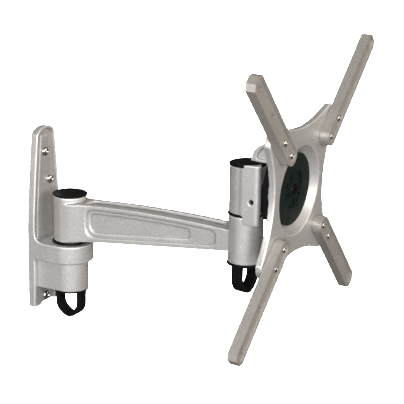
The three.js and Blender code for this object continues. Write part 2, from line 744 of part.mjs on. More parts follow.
// ---- Screen arms: bars on the diagonals of the star plate -----------------------------------------------

const screenArms = [
  { name: "upper_right", angle: Math.PI / 4 },
  { name: "upper_left", angle: (3 * Math.PI) / 4 },
  { name: "lower_left", angle: (5 * Math.PI) / 4 },
  { name: "lower_right", angle: (7 * Math.PI) / 4 },
];

const holeDistance = (pitch) => pitch / Math.SQRT2;
const boredAt = (pitch, angle, tool) => facingForward(tool).translate([
  holeDistance(pitch) * Math.cos(angle), 0, holeDistance(pitch) * Math.sin(angle)]);

// A bar with a round inner end about its first screw and a chamfered tip, drawn in X and Z.
function barOutline(inset, angle) {
  const half = barWidth / 2 - inset;
  const start = holeDistance(holePitches[0]);
  const end = barTip - inset;
  const chamfer = barTipChamfer - inset / 2;
  const tip = [[end - chamfer, -half], [end, -half + chamfer]];
  const points = [...tip, ...tip.map(([a, b]) => [a, -b]).reverse()];
  const steps = 8;
  for (let i = 0; i <= steps; i++) {
    const turn = Math.PI / 2 + (Math.PI * i) / steps;
    points.push([start + half * Math.cos(turn), half * Math.sin(turn)]);
  }
  const [c, s] = [Math.cos(angle), Math.sin(angle)];
  return polygon(points.map(([a, b]) => [a * c - b * s, a * s + b * c]));
}

function barBody(angle) {
  const front = -plateReach;
  const body = slabY(barOutline(0, angle), front, front + barDepth);
  const channel = slabY(barOutline(barRim, angle), front - cutExtra, front + barChannel);
  const drill = rod(barHoleRadius, 0, plateReach + cutExtra, roundSmall);
  const holes = holePitches.map((pitch) => boredAt(pitch, angle, drill));
  return cut(body, channel, ...holes);
}

function armScrew() {
  const seat = plateReach - barChannel + gap;
  const steps = 3;
  const dome = [];
  for (let i = 0; i <= steps; i++) {
    const turn = (i / steps) * (Math.PI / 2);
    dome.push([armHeadRadius * Math.cos(turn), seat + armHeadHeight * Math.sin(turn)]);
  }
  dome[steps][0] = 0;
  const shank = [[0, starBack], [armScrewRadius, starBack], [armScrewRadius, seat]];
  const screw = turned([...shank, ...dome], roundSmall);
  return cut(screw, hexRod(armSocketWidth, seat + armHeadHeight / 2, seat + armHeadHeight + cutExtra));
}

// ---- Assembly -------------------------------------------------------------------------------------------

const mount = new THREE.Group();

function nested(parent, x, y, z) {
  const group = new THREE.Group();
  group.position.set(x, y, z);
  parent.add(group);
  return group;
}

// The bolt, washers, nut and clip below a pivot, and the bushes, bolt head and cap above it.
function addPivot(group, name, joint) {
  const headFloor = joint.top - headPocketDepth;
  const boltSeat = headFloor + bushFlange + gap + thrustWasherThick + gap;
  const nutCeiling = joint.bottom + nutPocketDepth;
  const springTop = nutCeiling - gap - nutWasherThick - gap;
  const nutLow = springTop - springWasherThick - gap - nutHeight;
  piece(group, name + "_pivot_bolt", pivotBolt(boltSeat, nutLow), zincSteel);
  piece(group, name + "_thrust_washer",
    washer(thrustWasherRadius, boltSeat - gap - thrustWasherThick, thrustWasherThick), zincSteel);
  piece(group, name + "_upper_bush", flangedBush(headFloor), nylon);
  piece(group, name + "_lower_bush", plainBush(joint.washer + pivotWasherThick + 2 * gap), nylon);
  piece(group, name + "_pivot_washer", washer(joint.washerRadius, joint.washer + gap, pivotWasherThick),
    blackPlastic);
  piece(group, name + "_nut_washer",
    washer(thrustWasherRadius, nutCeiling - gap - nutWasherThick, nutWasherThick), zincSteel);
  piece(group, name + "_spring_washer",
    washer(boltHeadRadius, springTop - springWasherThick, springWasherThick), zincSteel);
  piece(group, name + "_pivot_nut", nut(nutLow), zincSteel);
  piece(group, name + "_cap", barrelCap(joint.top), blackPlastic);
  piece(group, name + "_cable_clip", cableClip(joint.bottom).rotate([0, 0, joint.clipTurn]), blackPlastic);
}

piece(mount, "wall_plate", wallPlateBody(), silver);
for (const [name, [x, z]] of Object.entries(wallScrews)) {
  const seat = name === "low" ? -floorFront : -panelFront;
  piece(mount, "wall_screw_" + name, wallScrew(seat).translate([x, 0, z]), brightSteel);
}

const wallPivot = nested(mount, 0, -pivotOffset, 0);
piece(wallPivot, "arm", armBody(), silver);
addPivot(wallPivot, "wall", {
  top: wallBarrelBottom + barrelHeight, washer: shelfTop, washerRadius: wallWasherRadius,
  bottom: bossBottom, clipTurn: 90,
});

const headGroup = nested(mount, 0, -headPivot, 0);
piece(headGroup, "knuckle", knuckleBody(), silver);
piece(headGroup, "tilt_bolt", tiltBolt(), zincSteel);
addPivot(headGroup, "head", {
  top: knuckleTop, washer: headBarrelBottom + barrelHeight, washerRadius: headWasherRadius,
  bottom: headBarrelBottom, clipTurn: THREE.MathUtils.radToDeg(headClipTurn) - 90,
});

const tiltGroup = nested(mount, 0, -headPivot - tiltReach, tiltHeight);
tiltGroup.rotation.x = restTilt;
piece(tiltGroup, "tilt_bracket", tiltBracketBody(), silver);
for (const [name, side] of [["left", -1], ["right", 1]]) {
  piece(tiltGroup, "tilt_pad_" + name, padBody(side), blackPlastic);
  piece(tiltGroup, "tilt_washer_" + name, tiltWasher(side), nylon);
}

const plateGroup = nested(tiltGroup, 0, 0, plateRise);
piece(plateGroup, "rear_friction_disc", rearDiscBody(), blackPlastic);
piece(plateGroup, "front_friction_disc", frontDiscBody(), greenBlack);
piece(plateGroup, "rotation_bolt", rotationBolt(), blackPlastic);
piece(plateGroup, "star_plate", starBody(), silver);
for (const { name, angle } of screenArms) {
  piece(plateGroup, "screen_arm_" + name, barBody(angle), silver);
  ["inner", "outer"].forEach((place, i) => piece(plateGroup, ["arm_screw", name, place].join("_"),
    boredAt(holePitches[i], angle, armScrew()), brightSteel));
}

export default mount;
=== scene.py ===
# %% [markdown]
# # A swinging wall mount for a flat screen
# The real mount is a handful of die-cast aluminium parts painted silver, held together by steel bolts, with
# black nylon caps, washers and cable clips where parts turn on each other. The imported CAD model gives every
# part its place. This lesson models the castings again with soft edges and gives every part its finish.

# %% Load the frame
import json
import math
import bpy
from mathutils import Matrix, Vector

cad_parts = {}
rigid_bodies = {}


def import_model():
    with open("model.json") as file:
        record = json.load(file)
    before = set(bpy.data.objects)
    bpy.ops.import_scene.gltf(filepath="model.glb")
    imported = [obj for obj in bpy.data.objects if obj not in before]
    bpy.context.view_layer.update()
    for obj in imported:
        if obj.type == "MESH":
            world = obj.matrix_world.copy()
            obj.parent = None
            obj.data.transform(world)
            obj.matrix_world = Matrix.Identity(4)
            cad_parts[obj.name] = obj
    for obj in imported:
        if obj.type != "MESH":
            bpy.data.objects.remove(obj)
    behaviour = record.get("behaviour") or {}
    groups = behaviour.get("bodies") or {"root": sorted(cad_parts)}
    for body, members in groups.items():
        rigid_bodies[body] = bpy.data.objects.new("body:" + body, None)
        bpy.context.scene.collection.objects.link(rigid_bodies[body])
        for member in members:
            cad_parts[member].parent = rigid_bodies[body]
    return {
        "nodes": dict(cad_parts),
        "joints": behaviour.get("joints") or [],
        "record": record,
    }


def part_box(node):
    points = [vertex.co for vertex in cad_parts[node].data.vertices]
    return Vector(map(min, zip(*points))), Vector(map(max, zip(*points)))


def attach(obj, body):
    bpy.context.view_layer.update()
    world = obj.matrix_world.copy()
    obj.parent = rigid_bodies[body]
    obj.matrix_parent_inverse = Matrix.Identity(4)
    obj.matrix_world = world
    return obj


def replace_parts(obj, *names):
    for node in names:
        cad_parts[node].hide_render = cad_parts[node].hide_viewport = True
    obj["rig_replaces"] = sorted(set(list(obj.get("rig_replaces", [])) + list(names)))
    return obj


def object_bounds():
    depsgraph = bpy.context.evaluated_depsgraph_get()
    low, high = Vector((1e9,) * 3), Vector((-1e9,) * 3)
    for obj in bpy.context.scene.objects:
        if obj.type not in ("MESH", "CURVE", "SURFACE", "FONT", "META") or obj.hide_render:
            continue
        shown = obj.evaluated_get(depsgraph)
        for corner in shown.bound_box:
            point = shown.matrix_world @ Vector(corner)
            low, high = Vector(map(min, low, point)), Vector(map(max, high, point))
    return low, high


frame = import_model()
cad_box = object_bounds()
print("CAD box", [list(corner) for corner in cad_box])

# %% [markdown]
# ## Camera
# The mount is seen from its left, a little above, through a long lens. The camera is placed by its own
# position and by the direction that it looks back along, then rolled a little, as a hand-held one is.

# %% Camera
mm = 0.001


def metres(*values):
    return Vector([value * mm for value in values])


camera_place = metres(-977.2, -685.9, 361.3)
camera_azimuth = math.radians(-61.73)
camera_elevation = math.radians(16.28)
camera_roll = math.radians(1.05)
camera_lens, camera_sensor = 125.7, 36  # millimetres


def camera_matrix():
    a, e = camera_azimuth, camera_elevation
    back = Vector((math.sin(a) * math.cos(e), -math.cos(a) * math.cos(e), math.sin(e)))
    right = Vector((math.cos(a), math.sin(a), 0))
    turn = Matrix((right, back.cross(right), back)).transposed()
    return Matrix.Translation(camera_place) @ turn.to_4x4() @ Matrix.Rotation(camera_roll, 4, "Z")


bpy.ops.object.select_all(action="DESELECT")
bpy.ops.object.camera_add()
camera = bpy.context.active_object
camera.name = "camera"
camera.matrix_world = camera_matrix()
camera.data.lens = camera_lens
camera.data.sensor_width = camera_sensor
bpy.context.scene.camera = camera
print("camera at", list(camera.location))

# %% [markdown]
# ## Materials
# Every finish is a Principled shader with a few nodes in front of it. Colours are given as sRGB hex values,
# as a paint chart gives them, and one function turns them to the linear values that Blender wants. The others
# each add a node, set its sockets and link what feeds it, so that a material reads like a short recipe.

# %% Colour and node helpers
def linear(hex_colour):
    """An sRGB hex colour as linear red, green, blue and alpha."""
    channels = [int(hex_colour[i:i + 2], 16) / 255 for i in (1, 3, 5)]
    return [c / 12.92 if c <= 0.04045 else ((c + 0.055) / 1.055) ** 2.4 for c in channels] + [1]


def add(material, kind, sockets=None, links=None, **settings):
    """Adds a node of that kind. Sockets get values, links get another node's output."""
    made = material.node_tree.nodes.new(kind)
    for name, value in settings.items():
        setattr(made, name, value)
    for name, value in (sockets or {}).items():
        made.inputs[name].default_value = value
    for name, output in (links or {}).items():
        material.node_tree.links.new(output, made.inputs[name])
    return made


def new_material(name, **sockets):
    """A Principled material, with its sockets set straight on the shader."""
    material = bpy.data.materials.new(name)
    material.use_nodes = True
    shader = material.node_tree.nodes["Principled BSDF"]
    for socket, value in sockets.items():
        shader.inputs[socket.replace("_", " ")].default_value = value
    place = add(material, "ShaderNodeTexCoord").outputs["Object"]
    return material, shader, place


def link(material, output, shader, socket):
    material.node_tree.links.new(output, shader.inputs[socket])


def per_metre(size):
    """A texture's scale from the size of its pattern in millimetres."""
    return 1 / (size * mm)


def noise(material, place, size, detail):
    """Noise whose pattern is that many millimetres."""
    return add(material, "ShaderNodeTexNoise", {"Scale": per_metre(size), "Detail": detail},
               {"Vector": place}).outputs["Fac"]


def ramp(material, value, first, last, first_at=0.0, last_at=1.0):
    """A blend from the first colour to the last, as the value passes from one place to the other."""
    made = add(material, "ShaderNodeValToRGB", links={"Fac": value})
    for stop, position, colour in zip(made.color_ramp.elements, (first_at, last_at), (first, last)):
        stop.position = position
        stop.color = linear(colour)
    return made.outputs["Color"]


def ranged(material, value, low, high):
    """A value that runs from 0 to 1, brought to the range from low to high."""
    return add(material, "ShaderNodeMapRange", {"To Min": low, "To Max": high},
               {"Value": value}).outputs["Result"]


def bumped(material, height, strength, depth):
    """A bump of that depth in millimetres."""
    return add(material, "ShaderNodeBump", {"Strength": strength, "Distance": depth * mm},
               {"Height": height}).outputs["Normal"]


MIX_A, MIX_B, MIX_RESULT = 6, 7, 2  # the Mix node's colour sockets, which share their names with others


def multiplied(material, first, second, factor=1.0):
    """The first colour, darkened or brightened by the second, wholly or in part."""
    mix = add(material, "ShaderNodeMix", {"Factor": factor}, data_type="RGBA", blend_type="MULTIPLY")
    material.node_tree.links.new(first, mix.inputs[MIX_A])
    material.node_tree.links.new(second, mix.inputs[MIX_B])
    return mix.outputs[MIX_RESULT]


# %% [markdown]
# ### Silver paint on die-cast aluminium
# The castings are sprayed with a satin silver that holds fine aluminium flake. The flake gives a slight
# sparkle and mottle, and the casting's skin gives the faintest orange peel. Painted highlights brighten the
# edges and painted shade darkens the corners, both read from the mesh's pointiness. Real flake is 0.03 mm,
# too fine to show, so it is drawn at 0.8 mm. The screen arms have a slightly darker coat, with crisp edges
# that carry no painted highlights or painted shade.

# %% Silver paint
flake_size, peel_size, mottle_size = 0.8, 2.2, 14  # millimetres


def silver_paint(name, low_colour="#b2aeaa", high_colour="#d3d0cd", edges=True):
    material, shader, place = new_material(name, Metallic=0.55, IOR=1.5)
    flake = noise(material, place, flake_size, detail=2.0)
    mottle = noise(material, place, mottle_size, detail=3.0)
    colour = ramp(material, flake, low_colour, high_colour, first_at=0.3, last_at=0.7)
    finished = multiplied(material, colour, mottle, factor=0.2)
    # Painted highlights on the edges and painted shade in the corners and creases.
    if edges:
        finished = painted_edge_highlight_and_corner_shade(material, finished)
    link(material, finished, shader, "Base Color")
    link(material, ranged(material, flake, 0.36, 0.5), shader, "Roughness")
    peel = noise(material, place, peel_size, detail=4.0)
    link(material, bumped(material, peel, strength=0.12, depth=0.4), shader, "Normal")
    return material


def painted_edge_highlight_and_corner_shade(material, colour):
    """Painted highlights where the casting's edges stand out, painted shade where its corners fold in."""
    shape = add(material, "ShaderNodeNewGeometry")
    # Pointiness above the middle brightens the colour as a painted highlight, below it darkens it as painted
    # shade.
    edge_highlight_and_shade = add(material, "ShaderNodeMapRange",
               {"From Min": 0.46, "From Max": 0.54, "To Min": 0.55, "To Max": 1.3},
               {"Value": shape.outputs["Pointiness"]})
    return multiplied(material, colour, edge_highlight_and_shade.outputs["Result"])


silver = silver_paint("silver_paint_on_cast_aluminium")
# The screen arms get no painted edge highlights or corner shade.
plain_silver = silver_paint("silver_paint_on_screen_arms", "#9d978f", "#beb8b0", edges=False)
print("made", silver.name)

# %% [markdown]
# ### Moulded plastics
# Caps, washers and clips are black nylon, moulded with a fine spark texture that scatters the light. The
# friction disc is a harder plastic with a green cast. Both are dielectrics with an index near 1.5. The
# texture breaks up their shine, so the specular level is low.

# %% Moulded plastics
def moulded_plastic(name, low_colour, high_colour, roughness, grain_size, depth):
    material, shader, place = new_material(name, IOR=1.52, Specular_IOR_Level=0.1)
    grain = noise(material, place, grain_size, detail=5.0)
    colour = ramp(material, grain, low_colour, high_colour, first_at=0.35, last_at=0.7)
    link(material, colour, shader, "Base Color")
    link(material, ranged(material, grain, roughness - 0.06, roughness + 0.08), shader, "Roughness")
    link(material, bumped(material, grain, strength=0.3, depth=depth), shader, "Normal")
    return material


black_nylon = moulded_plastic("moulded_black_nylon", "#060606", "#101010", 0.45, 0.9, 0.12)
green_black = moulded_plastic("moulded_green_black_acetal", "#0d1311", "#17211d", 0.5, 1.1, 0.1)
white_nylon = moulded_plastic("natural_nylon", "#d5d1c3", "#ece9df", 0.5, 1.2, 0.08)

# %% [markdown]
# ### Steels
# The screws are nickel-plated and bright, so they mirror the room in a small spot. The bolts, nuts and
# washers inside are dull zinc-plated steel, whose crystals show as faint patches. The centre bolt is
# blackened. The tilt bolt gets the same black finish so that the knuckle's sight hole shows dark, as painted
# shade. All are metals, so Metallic is 1 and the index stays at its default.

# %% Steels
def plated_steel(name, dark, light, roughness, patch_size):
    material, shader, place = new_material(name, Metallic=1.0)
    patches = add(material, "ShaderNodeTexVoronoi", {"Scale": per_metre(patch_size)}, {"Vector": place})
    fine = noise(material, place, patch_size / 4, detail=3.0)
    link(material, ramp(material, patches.outputs["Distance"], light, dark), shader, "Base Color")
    link(material, ranged(material, fine, roughness * 0.8, roughness * 1.2), shader, "Roughness")
    return material


bright_steel = plated_steel("nickel_plated_steel", "#c4c2bf", "#e6e4e0", 0.2, 1.5)
zinc_steel = plated_steel("zinc_plated_steel", "#8f9294", "#b4b7b8", 0.36, 2.0)
# Also put on the tilt bolt, where its black is painted shade in the knuckle's sight hole.
black_steel = plated_steel("blackened_steel_and_sight_hole_shade", "#1b1b1c", "#2c2c2e", 0.42, 1.5)

# %% [markdown]
# ## Floor and light
# A plain pale floor lies a metre below the mount, so that it fills the view. Its bounce is left out, and
# only the lights light the mount. Two soft ones stand on the left, where the castings are brightest, two
# weaker ones fill the front, and one fills the back from the right. Three more hang above the floor, one
# beyond the other where the camera looks, and wash it with an even light. These three and the one at the
# back aren't reflected in the mount's finishes.

# %% Floor and light
floor_drop, floor_size = 1.0, 30  # metres
floor_height = cad_box[0].z - floor_drop
middle = (cad_box[0] + cad_box[1]) / 2
light_size = 0.9
mount_lights = {  # place in metres, power in watts, colour and whether the finishes reflect it
    "key_left": ((-2.0, 0.1, 0.45), 25, "#ffffff", True),
    "key_front_left": ((-1.75, -1.15, 0.6), 52, "#f3f8ff", True),
    "fill_front": ((-0.8, -2.0, 0.6), 30, "#fffdf8", True),
    "fill_front_right": ((0.9, -1.9, 0.7), 12, "#ffeedd", True),
    "fill_back_right": ((1.9, 1.3, 0.9), 26, "#ffffff", False)}
wash_size, wash_rise, wash_spread = 2.4, 2.6, 100
wash_reaches = {"near": (3.6, 300), "middle": (6.2, 420), "far": (9.6, 700)}  # metres out, watts
ahead = Vector((-math.sin(camera_azimuth), math.cos(camera_azimuth), 0))  # the camera's way, level


def pale_floor():
    bpy.ops.object.select_all(action="DESELECT")
    bpy.ops.mesh.primitive_plane_add(size=floor_size, location=(0, 0, floor_height))
    floor = bpy.context.active_object
    floor.name = "floor"
    material, shader, place = new_material("pale_floor", Roughness=0.9)
    shader.inputs["Base Color"].default_value = linear("#f4f4f3")
    floor.data.materials.append(material)
    floor.visible_diffuse = floor.visible_glossy = False  # it lends the mount no light


def soft_light(name, place, target, size, power, colour="#ffffff", spread=180, reflected=True):
    bpy.ops.object.light_add(type="AREA", location=place)
    light = bpy.context.active_object
    light.name = name
    light.data.size = size
    light.data.energy = power
    light.data.color = linear(colour)[:3]
    light.data.spread = math.radians(spread)
    light.visible_glossy = reflected
    light.rotation_euler = (Vector(target) - Vector(place)).to_track_quat("-Z", "Y").to_euler()


pale_floor()
for name, (place, power, colour, reflected) in mount_lights.items():
    soft_light(name, place, middle, light_size, power, colour, reflected=reflected)
for name, (reach, power) in wash_reaches.items():
    spot = camera_place + reach * ahead
    spot.z = floor_height
    soft_light("floor_wash_" + name, spot + Vector((0, 0, wash_rise)), spot, wash_size, power,
               spread=wash_spread, reflected=False)
world = bpy.data.worlds.new("soft_room")
world.use_nodes = True
world.node_tree.nodes["Background"].inputs["Color"].default_value = linear("#fff4ea")
world.node_tree.nodes["Background"].inputs["Strength"].default_value = 0.1
bpy.context.scene.world = world
bpy.context.scene.view_settings.view_transform = "Standard"

# %% [markdown]
# ## Modelling helpers
# Each piece starts from a primitive. A circle with as many corners as an outline needs becomes a slab when
# its face is extruded, and a half outline becomes a turned part when it is spun. Both are finished with
# modifiers: a boolean to join or cut, a bevel for machined edges, and a fine remesh with smoothing for
# castings, whose every edge and corner is softly rounded. All sizes are in millimetres.

# %% Slabs and turned parts
PLANES = {"x": (1, 2, 0), "y": (0, 2, 1), "z": (0, 1, 2)}  # across, up and through, for each axis
weld = 0.001  # millimetres, between points that become one
round_steps, barrel_steps = 96, 128  # round a common turned part, and round a large one that shows


def corners_of(outline, fill):
    """A circle primitive with a corner for each point of the outline. Its corners are still on the circle."""
    bpy.ops.object.select_all(action="DESELECT")
    bpy.ops.mesh.primitive_circle_add(vertices=len(outline), fill_type=fill)
    return bpy.context.active_object


def slab(outline, axis, low, high):
    """An outline, extruded along an axis from low to high."""
    piece = corners_of(outline, "NGON")
    across, up, through = PLANES[axis]
    for vertex, (a, b) in zip(piece.data.vertices, outline):
        vertex.co[across], vertex.co[up], vertex.co[through] = a * mm, b * mm, low * mm
    rise = [0, 0, 0]
    rise[through] = (high - low) * mm
    bpy.ops.object.mode_set(mode="EDIT")
    bpy.ops.mesh.select_all(action="SELECT")
    bpy.ops.mesh.extrude_region_move(TRANSFORM_OT_translate={"value": rise})
    bpy.ops.mesh.select_all(action="SELECT")
    bpy.ops.mesh.normals_make_consistent(inside=False)
    bpy.ops.object.mode_set(mode="OBJECT")
    return piece


def turned(profile, steps=round_steps):
    """A profile in radii and heights, spun about Z. It starts and ends on the axis, or closes on itself."""
    piece = corners_of(profile, "NOTHING")
    for vertex, (radius, height) in zip(piece.data.vertices, profile):
        vertex.co = (radius * mm, 0, height * mm)
    on_axis = profile[0][0] == 0 and profile[-1][0] == 0
    last = len(profile) - 1
    for edge in piece.data.edges:
        edge.select = on_axis and set(edge.vertices) == {0, last}
    for vertex in piece.data.vertices:
        vertex.select = on_axis and vertex.index in (0, last)
    bpy.ops.object.mode_set(mode="EDIT")
    bpy.ops.mesh.select_mode(type="EDGE")
    if on_axis:
        bpy.ops.mesh.delete(type="EDGE")
    bpy.ops.mesh.select_mode(type="VERT")
    bpy.ops.mesh.select_all(action="SELECT")
    bpy.ops.mesh.spin(steps=steps, angle=math.tau, center=(0, 0, 0), axis=(0, 0, 1))
    bpy.ops.mesh.select_all(action="SELECT")
    bpy.ops.mesh.remove_doubles(threshold=weld * mm)
    bpy.ops.mesh.normals_make_consistent(inside=False)
    bpy.ops.object.mode_set(mode="OBJECT")
    return piece


def rod(radius, low, high, steps=round_steps):
    return turned([(0, low), (radius, low), (radius, high), (0, high)], steps)


# %% Moving, joining, cutting and finishing
def only(piece):
    bpy.ops.object.select_all(action="DESELECT")
    piece.select_set(True)
    bpy.context.view_layer.objects.active = piece
    return piece


def moved(piece, matrix):
    """The piece with a move or turn applied to its mesh, so that its object stays at the origin."""
    piece.matrix_world = matrix
    only(piece)
    bpy.ops.object.transform_apply(location=True, rotation=True, scale=True)
    return piece


def shifted(piece, x=0, y=0, z=0):
    return moved(piece, Matrix.Translation(metres(x, y, z)))


FORWARD = Matrix.Rotation(math.radians(90), 4, "X")  # turns up to the screen side
SIDEWAYS = Matrix.Rotation(math.radians(90), 4, "Y")  # turns up to the right
SHARP = math.radians(32)  # a machined edge sharper than this gets a bevel
coarse_grain, fine_grain = 0.55, 0.5  # the mesh of a casting, in millimetres


def modify(piece, kind, **settings):
    """Adds a modifier with these settings and applies it."""
    only(piece)
    step = piece.modifiers.new(kind.lower(), kind)
    for name, value in settings.items():
        setattr(step, name, value)
    bpy.ops.object.modifier_apply(modifier=step.name)
    return piece


def combined(piece, others, operation):
    for other in others:
        modify(piece, "BOOLEAN", object=other, operation=operation, solver="MANIFOLD")
        bpy.data.objects.remove(other)
    return piece


def joined(piece, *others):
    return combined(piece, others, "UNION")


def cut(piece, *others):
    return combined(piece, others, "DIFFERENCE")


def cast(piece, grain=coarse_grain, passes=5):
    """Soft edges all over, as a casting has: a fine even mesh, then smoothed."""
    modify(piece, "REMESH", mode="VOXEL", voxel_size=grain * mm)
    modify(piece, "SMOOTH", factor=0.5, iterations=passes)
    bpy.ops.object.shade_smooth()
    return piece


def machined(piece, width=0.4, segments=3):
    """A small even bevel on every sharp edge."""
    modify(piece, "BEVEL", width=width * mm, segments=segments, limit_method="ANGLE",
           angle_limit=SHARP, harden_normals=False)
    bpy.ops.object.shade_smooth_by_angle(angle=SHARP)
    modify(piece, "WEIGHTED_NORMAL", keep_sharp=True, weight=100)
    return piece


def copied(piece, matrix):
    """A copy with its own mesh, moved or turned."""
    twin = piece.copy()
    twin.data = piece.data.copy()
    bpy.context.scene.collection.objects.link(twin)
    return moved(twin, matrix)


def finish(piece, name, body, material, slot, *nodes):
    """Names the piece, gives it its finish, and says which body it rides on and which nodes it replaces."""
    piece.name = piece.data.name = name
    piece.data.materials.clear()
    piece.data.materials.append(material)
    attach(piece, body)
    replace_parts(piece, *nodes)
    print(name, len(piece.data.polygons), "faces")


# %% Curves for outlines
def arc(centre, radius, start, end, steps=24):
    """Points on an arc, from one angle to another in degrees, with the ends."""
    angles = [math.radians(start + (end - start) * i / steps) for i in range(steps + 1)]
    return [(centre[0] + radius * math.cos(a), centre[1] + radius * math.sin(a)) for a in angles]


def curve(*points, steps=16):
    """Points on a Bezier curve of any degree, with both ends."""
    def at(t):
        row = [Vector(point) for point in points]
        while len(row) > 1:
            row = [a.lerp(b, t) for a, b in zip(row, row[1:])]
        return tuple(row[0])
    return [at(i / steps) for i in range(steps + 1)]


def mirrored(half):
    """Half an outline on the right, with its mirror image on the left added."""
    return half + [(-a, b) for a, b in reversed(half)]


def without_doubles(outline, least=1e-4):
    kept = [outline[0]]
    for point in outline[1:]:
        if math.dist(point, kept[-1]) > least:
            kept.append(point)
    return kept if math.dist(kept[0], kept[-1]) > least else kept[:-1]


# %% [markdown]
# ## Where things are
# The joints and the nodes' boxes give every place: the two pivots, the tilt axis and the centre of the
# star plate.

# %% Places from the frame
joint_places = {joint["name"]: [value / mm for value in joint["pos_m"]] for joint in frame["joints"]}
joint_axes = {joint["name"]: Vector(joint["axis"]) for joint in frame["joints"]}


def node_box(node):
    low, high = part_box(node)
    return [value / mm for value in low], [value / mm for value in high]


wall_pivot_y = joint_places["arm_swivel"][1]
head_pivot_y = joint_places["head_swivel"][1]
tilt_y, tilt_z = joint_places["tilt"][1:]
rest_tilt = math.asin(-joint_axes["plate_rotation"].z)
arm_length = wall_pivot_y - head_pivot_y
tilt_place = Matrix.Translation(metres(0, tilt_y, tilt_z)) @ Matrix.Rotation(rest_tilt, 4, "X")
plate_rise = 13.5  # the star plate's centre above the tilt axis
plate_place = tilt_place @ Matrix.Translation(metres(0, 0, plate_rise))
past = 1  # how far a cut runs past the face that it opens
gap = 0.3  # between pieces that touch
hair = 0.01  # keeps two faces from lying in one plane
print("pivots at", wall_pivot_y, head_pivot_y, "tilt axis at", tilt_y, tilt_z)

# %% [markdown]
# ## The wall plate
# The real plate is one casting: a tall plate with a raised rim, a shelf that carries the arm's pivot, and a
# boss below it that hides the nut. The rim curves down on to the shelf. Each of these is a slab, the slabs
# are joined, holes and recesses are cut, and the whole is cast.

# %% Wall plate
plate_low, plate_high = node_box("wall_plate")
plate_bottom, plate_top = plate_low[2], plate_high[2]
plate_half, plate_top_half = plate_high[0], 13.2
plate_thick = 7
plate_shoulder, shoulder_bend = 12, 20
plate_crown, crown_steps = 7.7, 18
foot_corner, floor_corner = 2, 0.5
rim_width, rim_height = 2.2, 3.2
floor_front = rim_height - plate_thick
panel_inset, panel_height = 9, 0.8
web_fillet = 9
shelf_top, shelf_thick, shelf_radius = -18, 15.5, 20.4
boss_radius, boss_bottom = 15.9, -60
pocket_radius, nut_pocket_depth = 11.9, 14
stem_clear, wall_screw_clear = 4.3, 2.7
behind_half = 40
foot_half, foot_top = 9.5, -62
wall_screw_places = {"top": (0, 59), "middle": (7, 33), "low": (0, -73)}


def plate_outline(inset, low, corner):
    half, top_half = plate_half - inset, plate_top_half - inset
    crown_base = plate_top - plate_crown
    crown = plate_crown - inset
    right = curve((half - corner, low), (half, low), (half, low + corner), steps=6)
    right += curve((half, plate_shoulder - shoulder_bend), (half, plate_shoulder), (top_half, crown_base),
                   steps=12)
    right += [(top_half * math.cos(a), crown_base + crown * math.sin(a))
              for a in [math.radians(90 * i / crown_steps) for i in range(crown_steps + 1)]]
    return without_doubles(mirrored(right))


def shelf_outline(half_back, radius):
    around = arc((0, wall_pivot_y), radius, -180, 0, 48)
    return [(-half_back, past), *around, (half_back, past)]


def web_outline():
    """The rim's front edge where it curves out on to the shelf, in Y and Z."""
    top = shelf_top + web_fillet
    sweep = curve((-plate_thick, top), (-plate_thick, shelf_top), (-plate_thick - web_fillet, shelf_top))
    return [(-past, shelf_top - past), (-past, top), *sweep, (-plate_thick - web_fillet, shelf_top - past)]


def foot_outline():
    """The arched recess at the plate's foot, round the low screw, in X and Z."""
    arch = curve((foot_half, foot_top - foot_half / 2), (foot_half, foot_top), (0, foot_top))
    return without_doubles(mirrored([(foot_half, plate_bottom - past), *arch]))


def at_wall_pivot(piece):
    return shifted(piece, y=wall_pivot_y)


def wall_plate_casting():
    front = -plate_thick - past
    body = slab(plate_outline(0, plate_bottom, foot_corner), "y", -plate_thick, 0)
    cut(body, slab(plate_outline(rim_width, shelf_top - past, floor_corner), "y", front, floor_front))
    webs = [slab(web_outline(), "x", *sorted((side * (plate_half - hair), side * (plate_half - rim_width))))
            for side in (-1, 1)]
    shelf = slab(shelf_outline(plate_half - 2 * hair, shelf_radius), "z", shelf_top - shelf_thick, shelf_top)
    boss = slab(shelf_outline(boss_radius, boss_radius), "z", boss_bottom, shelf_top - past)
    panel = slab(plate_outline(panel_inset, shelf_top - past, floor_corner), "y",
                 floor_front - panel_height, floor_front + gap)
    joined(body, shelf, boss, *webs, panel)
    behind = slab([(-behind_half, 0), (behind_half, 0), (behind_half, behind_half / 2),
                   (-behind_half, behind_half / 2)], "z", plate_bottom - past, plate_top + past)
    foot = slab(foot_outline(), "y", front, floor_front)
    bolt_hole = at_wall_pivot(rod(stem_clear, boss_bottom - past, shelf_top + past))
    pocket = at_wall_pivot(rod(pocket_radius, boss_bottom - past, boss_bottom + nut_pocket_depth))
    cut(body, behind, foot, bolt_hole, pocket)
    for x, z in wall_screw_places.values():
        cut(body, shifted(moved(rod(wall_screw_clear, -past, -front), FORWARD), x=x, z=z))
    return cast(body)


finish(wall_plate_casting(), "wall_plate_casting", "wall", silver, "silver_paint", "wall_plate")

# %% [markdown]
# ## The arm
# The arm is a deep beam between two upright barrels. Each side has a recess that makes it lighter, with a
# second one stepped into it, both with rounded corners. A channel for cables runs along the top. The plan
# flares into the wall barrel and runs straight into the head's, so the beam is the part that its side view
# and its plan have in common.

